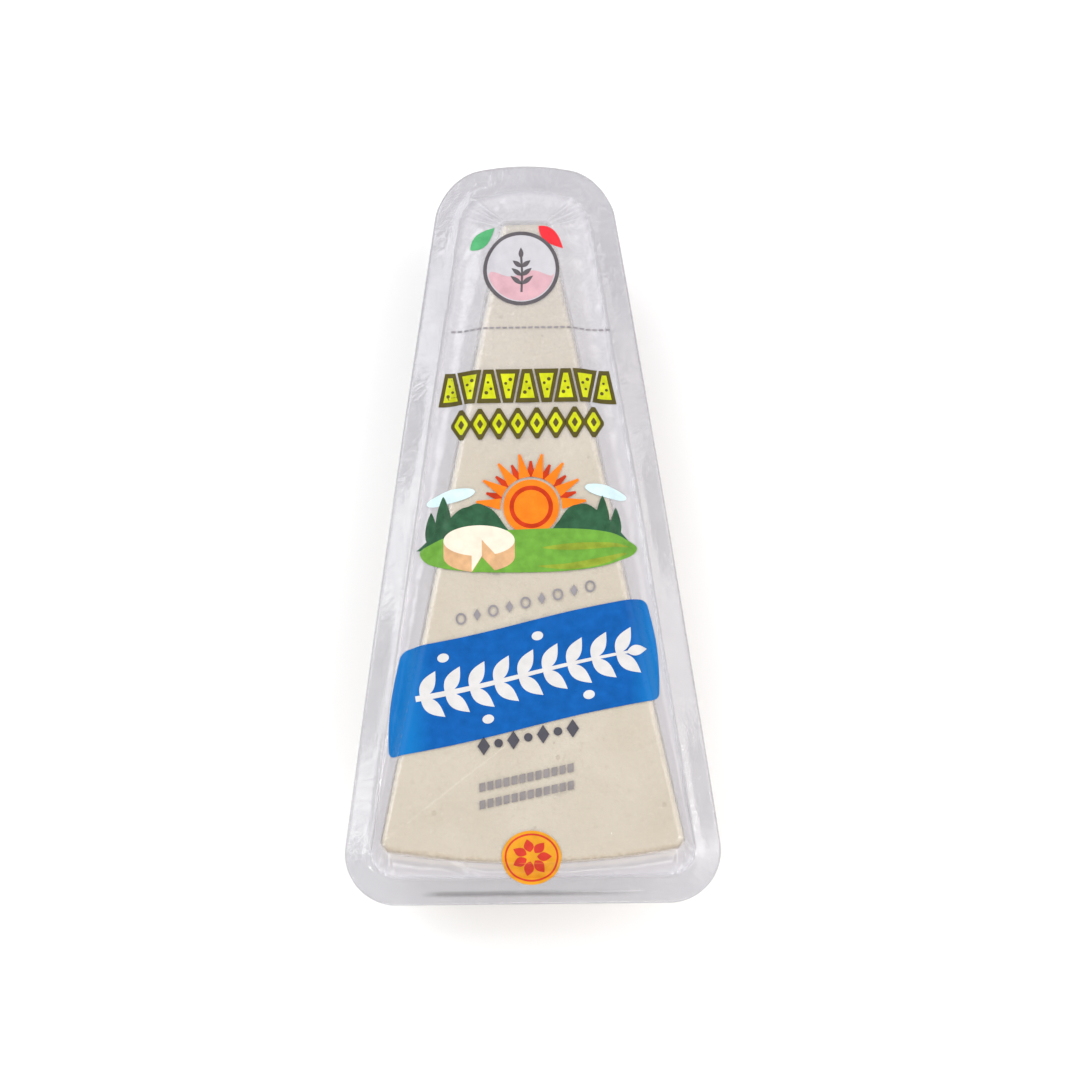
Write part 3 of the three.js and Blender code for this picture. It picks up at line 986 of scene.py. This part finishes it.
x, y = ROUNDEL
print_piece(
    "print_roundel",
    printed([oval(x, y, ROUNDEL_RADIUS)], 0, INK_CLOUDY),
    printed([lower_part(x, y, ROUNDEL_RADIUS - PINK_INSET, PINK_LEVEL)], 1, INK_PINK),
    printed([oval(x, y, ROUNDEL_RADIUS), oval(x, y, ROUNDEL_RADIUS - ROUNDEL_RIM)], 2, INK_CHARCOAL),
    *[
        printed([loop], 2 + k % 2, INK_CHARCOAL)
        for k, loop in enumerate(sprig(x, y + SPRIG_FOOT, SPRIG_HEIGHT))
    ],
    printed([leaf(-12.6, 64.9, 7.4, 3.4, 40)], 1, INK_LEAF),
    printed([leaf(3.1, 69.6, 7.4, 3.4, -42)], 1, INK_RED),
)

# ==== The print: dashed rule ====
# A fine dashed line crosses the pack below the roundel. It is one layer of grey ink on the film, one
# short dash repeated along a level line.
INK_GREY = ink("grey", (142, 138, 142))
RULE_START, RULE_STEP, RULE_COUNT = (-16.6, 45.7), (1.46, 0.0), 25
rule_dash = stroke([(-0.5, 0), (0.5, 0)], 0.42)
print_piece("print_rule", printed([rule_dash], 0, INK_GREY, RULE_START, RULE_STEP, RULE_COUNT))

# ==== The print: yellow bands ====
# Two bands of bright yellow shapes with dark olive outlines cross the pack: a row of upright and
# inverted wedges, and below it a shorter row of lozenges.
INK_OLIVE = ink("dark_olive", (84, 76, 34))
INK_YELLOW = ink("yellow", (192, 198, 24), 0.14)
WEDGE_MARK = np.array([(-2.75, -3.9), (2.75, -3.9), (1.15, 3.9), (-1.15, 3.9)])
WEDGE_FACE = np.array([(-1.65, -2.85), (1.65, -2.85), (0.52, 2.85), (-0.52, 2.85)])
WEDGE_EYES = [oval(-0.55, -1.5, 0.42), oval(0.5, -0.6, 0.34), oval(-0.15, 0.9, 0.3)]
WEDGE_ROW = dict(start=(-17.4, 32.0), step=(4.36, 0.02), count=9, turn=180)
LOZENGE_HALF = [(-2.3, -0.4), (-2.3, 0.4), (-0.4, 3.6), (0.4, 3.6)]
LOZENGE = np.array(LOZENGE_HALF + [(-x, -y) for x, y in LOZENGE_HALF])
LOZENGE_ROW = dict(start=(-15.0, 23.2), step=(4.28, 0.05), count=8)
print_piece(
    "print_yellow_bands",
    printed([WEDGE_MARK], 0, INK_OLIVE, **WEDGE_ROW),
    printed([WEDGE_FACE], 1, INK_YELLOW, **WEDGE_ROW),
    printed(WEDGE_EYES, 2, INK_OLIVE, **WEDGE_ROW),
    printed([LOZENGE], 0, INK_OLIVE, **LOZENGE_ROW),
    printed([LOZENGE * 0.64], 1, INK_YELLOW, **LOZENGE_ROW),
    printed([LOZENGE * 0.28], 2, INK_OLIVE, **LOZENGE_ROW),
)

# ==== The print: landscape ====
# A little country scene in flat inks: the sun with its rays rises behind dark hills and cypresses, and
# a cut wheel of cheese lies on the left of a meadow.
INK_SKY = ink("pale_blue", (205, 228, 232))
INK_ORANGE = ink("orange", (240, 122, 24), 0.1)
INK_RUST = ink("rust", (186, 52, 18), 0.12)
INK_FOREST = ink("dark_green", (44, 84, 58), 0.2)
INK_MEADOW = ink("meadow_green", (104, 156, 58), 0.12)
INK_MOSS = ink("moss", (134, 152, 48), 0.16)
INK_CREAM = ink("cream", (232, 220, 202), 0.06)
INK_TAN = ink("tan", (206, 164, 122), 0.12)
SUN = (0.6, 4.0)
SUN_RADIUS = 6.3
SUN_RING = (4.9, 3.9)


def ray(angle, inner, outer, width):
    """One ray of the sun, which tapers outwards."""
    return turned([(inner, -width / 2), (outer, -0.25), (outer, 0.25), (inner, width / 2)], angle) + SUN


def hill(left, right, base, top, lean, bumps):
    """A hill over a level base, with its crest at a share of its width and trees along it."""
    across = np.linspace(0, 1, 40)
    rise = np.where(across < lean, across / lean, (1 - across) / (1 - lean))
    height = (top - base) * np.sin(rise * math.pi / 2) ** 1.3
    height = height + 0.35 * np.abs(np.sin(across * math.pi * bumps))
    return np.column_stack([left + (right - left) * across, base + height])


def cypress(x, y, height):
    shares = np.linspace(0, 1, 21)
    half = 0.17 * height * np.sin(math.pi * shares**0.7) ** 0.8
    right, left = (np.column_stack([x + side * half, y + height * shares]) for side in (1, -1))
    return np.concatenate([right, left[-2:0:-1]])


rays_orange = [ray(angle, 6.9, 12.4, 2.6) for angle in range(6, 181, 24)]
rays_rust = [ray(angle, 6.9, 10.6, 2.0) for angle in range(18, 181, 24)]
hills = [hill(-25.4, -1.6, -5.2, 4.6, 0.6, 6), hill(2.6, 23.8, -4.8, 4.4, 0.42, 5)]
meadow = np.array(
    [(-21.5, -9.2), (-24.6, -5.6), (-20, -3.2), (-12, -1.7), (-3, -1.2), (6, -1.0), (14, -1.4)]
    + [(20, -2.6), (24.2, -4.8), (22.4, -7.4), (17, -9.6), (8, -10.8), (-4, -11.0), (-14, -10.6)]
)


def rounded(loop, steps=6):
    """A loop smoothed into a closed curve through its points."""
    loop = np.asarray(loop, float)
    before, after, beyond = (np.roll(loop, shift, axis=0) for shift in (1, -1, -2))
    slope = after - before
    bend = 2 * before - 5 * loop + 4 * after - beyond
    twist = 3 * loop - before - 3 * after + beyond
    shares = np.arange(steps) / steps
    runs = [0.5 * (2 * loop + slope * share + bend * share**2 + twist * share**3) for share in shares]
    return np.stack(runs, axis=1).reshape(-1, 2)


furrows = [
    rounded([(2, -9.6), (9, -9.0), (17, -7.6), (22.0, -6.6), (17, -9.2), (9, -10.4)]),
    rounded([(3, -5.4), (10, -4.4), (18, -4.4), (22.4, -5.0), (17, -5.6), (9, -6.0)]),
]
WHEEL = (-11.2, -3.6)
WHEEL_HALF = (8.0, 3.5)
WHEEL_HEIGHT = 3.7
wheel_top = oval(*WHEEL, *WHEEL_HALF)
wheel_foot = wheel_top - (0, WHEEL_HEIGHT)
wheel_side = np.concatenate([wheel_top[:1], wheel_top[24:25], wheel_foot[24:], wheel_foot[:1]])
cut_top = np.array([(-10.6, -3.4), (-12.9, -6.98), (-7.6, -6.75)])
cut_foot = cut_top - (0, WHEEL_HEIGHT)
cut_left = np.array([cut_top[0], cut_top[1], cut_foot[1], cut_foot[0]])
cut_right = np.array([cut_top[0], cut_foot[0], cut_foot[2], cut_top[2]])
cypresses = [(-22.0, -4.4, 8.0), (-19.2, -3.6, 10.5), (16.6, -2.6, 9.0), (19.6, -3.2, 7.0)]
print_piece(
    "print_landscape",
    printed([oval(-17.5, 6.6, 5.6, 1.5, 12), oval(17.4, 7.4, 4.8, 1.4, -14)], 0, INK_SKY),
    printed(rays_orange, 1, INK_ORANGE),
    printed(rays_rust, 0, INK_RUST),
    printed([oval(*SUN, SUN_RADIUS)], 1, INK_ORANGE),
    printed([oval(*SUN, radius) for radius in SUN_RING], 2, INK_RUST),
    *[printed([loop], 2, INK_FOREST) for loop in hills],
    *[printed([cypress(*at)], 3, INK_FOREST) for at in cypresses],
    printed([rounded(meadow)], 4, INK_MEADOW),
    *[printed([loop], 5, INK_MOSS) for loop in furrows],
    printed([wheel_side], 5, INK_TAN),
    printed([wheel_top], 6, INK_CREAM),
    printed([cut_left], 7, INK_CREAM),
    printed([cut_right], 8, INK_TAN),
    printed([cut_foot + (0, -0.2)], 6, INK_MEADOW),
)

# ==== The print: beads ====
# A widely spaced row of small rings and diamonds rises along the top of the banner. They are one layer
# of grey ink on the film, ring and diamond by turns.
BEAD_START, BEAD_STEP = np.array((-15.4, -21.4)), np.array((3.62, 0.88))
ring_mark = [oval(0, 0, 1.2, 1.35), oval(0, 0, 0.75, 0.9)]
diamond_mark = [np.array([(-0.85, 0), (0, -1.4), (0.85, 0), (0, 1.4)])]
print_piece(
    "print_beads",
    printed(ring_mark, 0, INK_GREY, BEAD_START, 2 * BEAD_STEP, 5),
    printed(diamond_mark, 0, INK_GREY, BEAD_START + BEAD_STEP, 2 * BEAD_STEP, 4),
)

# ==== The print: banner ====
# A wide blue banner with rounded ends crosses the wedge on a slant. A white branch with leaves in
# pairs and round fruit runs along it.
# The blue is painted lighter near the pack's sides, a painted sheen where the film bends down over the
# wedge's edges.
INK_BLUE = ink("blue", (4, 86, 161), 0.1, ends=((10, 112, 184), 22.0, 27.0))
BANNER_TOP = np.array([(-28.8, -28.0), (26.0, -16.8)])
BANNER_FOOT = np.array([(-31.8, -52.5), (28.6, -40.1)])
BANNER_WAVE = -0.35
BANNER_CORNER = (0.028, 0.075)
BANNER_BULGE = 0.018


def on_banner(across, up):
    """A place on the banner, by its shares of the way across and up."""
    across, up = (np.asarray(share, float)[..., None] for share in (across, up))
    low = BANNER_FOOT[0] + (BANNER_FOOT[1] - BANNER_FOOT[0]) * across
    high = BANNER_TOP[0] + (BANNER_TOP[1] - BANNER_TOP[0]) * across
    return low + (high - low) * up + np.array((-0.2, 0.98)) * BANNER_WAVE * np.sin(2 * math.pi * across)


def banner_outline():
    wide, tall = BANNER_CORNER
    shares = []
    for corner, (across, up) in enumerate(((1, 0), (1, 1), (0, 1), (0, 0))):
        centre = (across + wide * (1 - 2 * across), up + tall * (1 - 2 * up))
        for angle in np.radians(np.linspace(-90, 0, 9) + 90 * corner):
            shares.append((centre[0] + wide * math.cos(angle), centre[1] + tall * math.sin(angle)))
    shares = stepped(np.array(shares) * (60, 25)) / (60, 25)
    bulge = BANNER_BULGE * np.sin(math.pi * np.clip(shares[:, 1], 0, 1))
    side = np.where(shares[:, 0] > 0.97, bulge, np.where(shares[:, 0] < 0.03, -bulge, 0))
    return on_banner(shares[:, 0] + side, shares[:, 1])


LEAF_PAIRS = 9
BANNER_SLANT = 12
LEAF_SPREAD = 50
branch_line = on_banner(np.linspace(0.08, 0.93, 40), 0.5)
marks = [(stroke(branch_line, np.linspace(1.3, 0.6, 40)), 3)]
for k, share in enumerate(np.linspace(0.10, 0.86, LEAF_PAIRS)):
    for side in (1, -1):
        pointing = BANNER_SLANT + side * LEAF_SPREAD
        marks.append((leaf(*on_banner(share, 0.5), 6.9, 3.1, pointing), 1 + (k + (side > 0)) % 2))
for share, up in ((0.175, 0.84), (0.365, 0.17), (0.555, 0.84), (0.745, 0.17)):
    marks.append((oval(*on_banner(share, up), 1.3, 1.0, BANNER_SLANT), 1))
marks.append((leaf(*on_banner(0.9, 0.5), 4.6, 2.4, BANNER_SLANT), 4))
branch = [printed([loop], layer, INK_WHITE) for loop, layer in marks]
print_piece("print_banner", printed([banner_outline()], 0, INK_BLUE), *branch)

# ==== The print: small rows ====
# Under the banner stand a bold dark row of lozenges and dots and two fine rows of grey dashes, one
# layer of ink on the film. Each row is a mark repeated along a line that slants like the banner.
INK_DARK = ink("dark_grey", (78, 76, 84))
INK_FINE = ink("fine_grey", (138, 132, 132))
BOLD_START, BOLD_STEP = np.array((-10.6, -50.2)), np.array((3.3, 0.62))
lozenge_mark = [np.array([(-1.4, 0), (0, -2.1), (1.4, 0), (0, 2.1)])]
DASH_STEP, DASH_COUNT = (1.78, 0.37), 12
dash_mark = [np.array([(-0.66, -1.1), (0.66, -0.8), (0.66, 1.1), (-0.66, 0.8)])]
print_piece(
    "print_small_rows",
    printed(lozenge_mark, 0, INK_DARK, BOLD_START, 2 * BOLD_STEP, 4),
    printed([oval(0, 0, 0.95)], 0, INK_DARK, BOLD_START + BOLD_STEP, 2 * BOLD_STEP, 3),
    printed(dash_mark, 0, INK_FINE, (-11.0, -59.4), DASH_STEP, DASH_COUNT),
    printed(dash_mark, 0, INK_FINE, (-11.0, -63.3), DASH_STEP, DASH_COUNT),
)

# ==== The print: seal ====
# A round yellow seal with a red flower is printed over the wide edge of the wedge, and bends down with
# the film on its outer side.
INK_SEAL = ink("seal_yellow", (216, 148, 36), 0.08)
INK_PETAL = ink("petal_red", (196, 56, 42), 0.08)
SEAL = (-0.3, -75.0)
SEAL_GRID = 0.2
PETALS = 7
SEAL_SQUASH = 0.88
petals = []
for k in range(PETALS):
    turn = 360 * k / PETALS
    foot = turned([(1.2, 0)], turn)[0]
    petals.append(leaf(*foot, 3.3, 2.2, turn) * (1, SEAL_SQUASH) + SEAL)
print_piece(
    "print_seal",
    printed([oval(*SEAL, 6.6, 5.8)], 0, INK_SEAL, grid=SEAL_GRID),
    printed([oval(*SEAL, 5.95, 5.15), oval(*SEAL, 5.55, 4.75)], 3, INK_PETAL, grid=SEAL_GRID),
    printed(petals, 3, INK_PETAL, grid=SEAL_GRID),
)

# ==== Floor, light and camera ====
# A plain sheet of white paper lies under soft light from above, from both sides and from the wide end.
# The camera looks down on the front of the pack from a little towards its wide end.
FLOOR_HALF = 1.5
FLOOR_DROP = 0.03 * MM  # keeps the floor clear of the pack's flat back
floor_mesh = bpy.data.meshes.new("floor")
floor_corners = np.array([(-1, -1), (1, -1), (1, 1), (-1, 1)]) * FLOOR_HALF
floor_mesh.from_pydata(at_height(floor_corners, -FLOOR_DROP).tolist(), [], [(0, 1, 2, 3)])
paper = Finish("floor_paper")
paper_tone = paper.blend(paper.cloud(60, 2), paint(251, 251, 251), paint(254, 254, 254))
paper_finish = paper.done(paper.add("BsdfPrincipled", {"Base Color": paper_tone, "Roughness": 0.9}))
floor_mesh.materials.append(paper_finish)
floor = put_in_scene("floor", floor_mesh)

world = bpy.data.worlds.new("studio")
world.use_nodes = True
bpy.context.scene.world = world
sky = world.node_tree.nodes["Background"]
sky.inputs["Color"].default_value = (1, 1, 1, 1)
sky.inputs["Strength"].default_value = 0.66


def soft_light(name, place, width, length, power, colour=(1, 1, 1)):
    """A softbox that faces the pack."""
    lamp = bpy.data.lights.new(name, "AREA")
    lamp.shape = "RECTANGLE"
    lamp.size, lamp.size_y = width, length
    lamp.energy = power
    lamp.color = colour
    box = put_in_scene(name, lamp)
    box.location = place
    box.rotation_euler = (-Vector(place)).to_track_quat("-Z", "Y").to_euler()


soft_light("key_light", (-0.62, 0.6, 1.0), 0.9, 0.9, 7.0, (0.97, 0.985, 1.0))
soft_light("fill_light", (0.75, 0.1, 0.9), 0.8, 1.0, 4.0, (1.0, 0.95, 0.94))
soft_light("heel_light", (0.1, -0.95, 0.45), 0.9, 0.4, 3.2)
soft_light("left_strip", (-0.62, -0.25, 0.42), 0.03, 0.8, 0.75)
soft_light("right_strip", (0.6, 0.0, 0.55), 0.03, 0.9, 0.9)

CAMERA_DISTANCE = 0.9
CAMERA_TILT = math.radians(12)  # from straight down, towards the wide end
CAMERA_ROLL = math.radians(0.75)  # the narrow end leans to the left in the picture
AIM = Vector((2.47, -2.98, 28.4)) * MM
PICTURE_PIXELS, PIXEL_SIZE = 1080, 0.225
FRAME_WIDTH = PICTURE_PIXELS * PIXEL_SIZE * MM  # how much the picture takes in at the aim
camera_data = bpy.data.cameras.new("camera")
camera_data.sensor_width = 36.0
camera_data.lens = camera_data.sensor_width * CAMERA_DISTANCE / FRAME_WIDTH
camera = put_in_scene("camera", camera_data)
tilted = Matrix.Rotation(CAMERA_TILT, 4, "X") @ Matrix.Rotation(-CAMERA_ROLL, 4, "Z")
camera.matrix_world = Matrix.Translation(AIM) @ tilted @ Matrix.Translation((0, 0, CAMERA_DISTANCE))
bpy.context.scene.camera = camera
bpy.context.scene.view_settings.view_transform = "Standard"
bpy.context.scene.cycles.transparent_max_bounces = 16
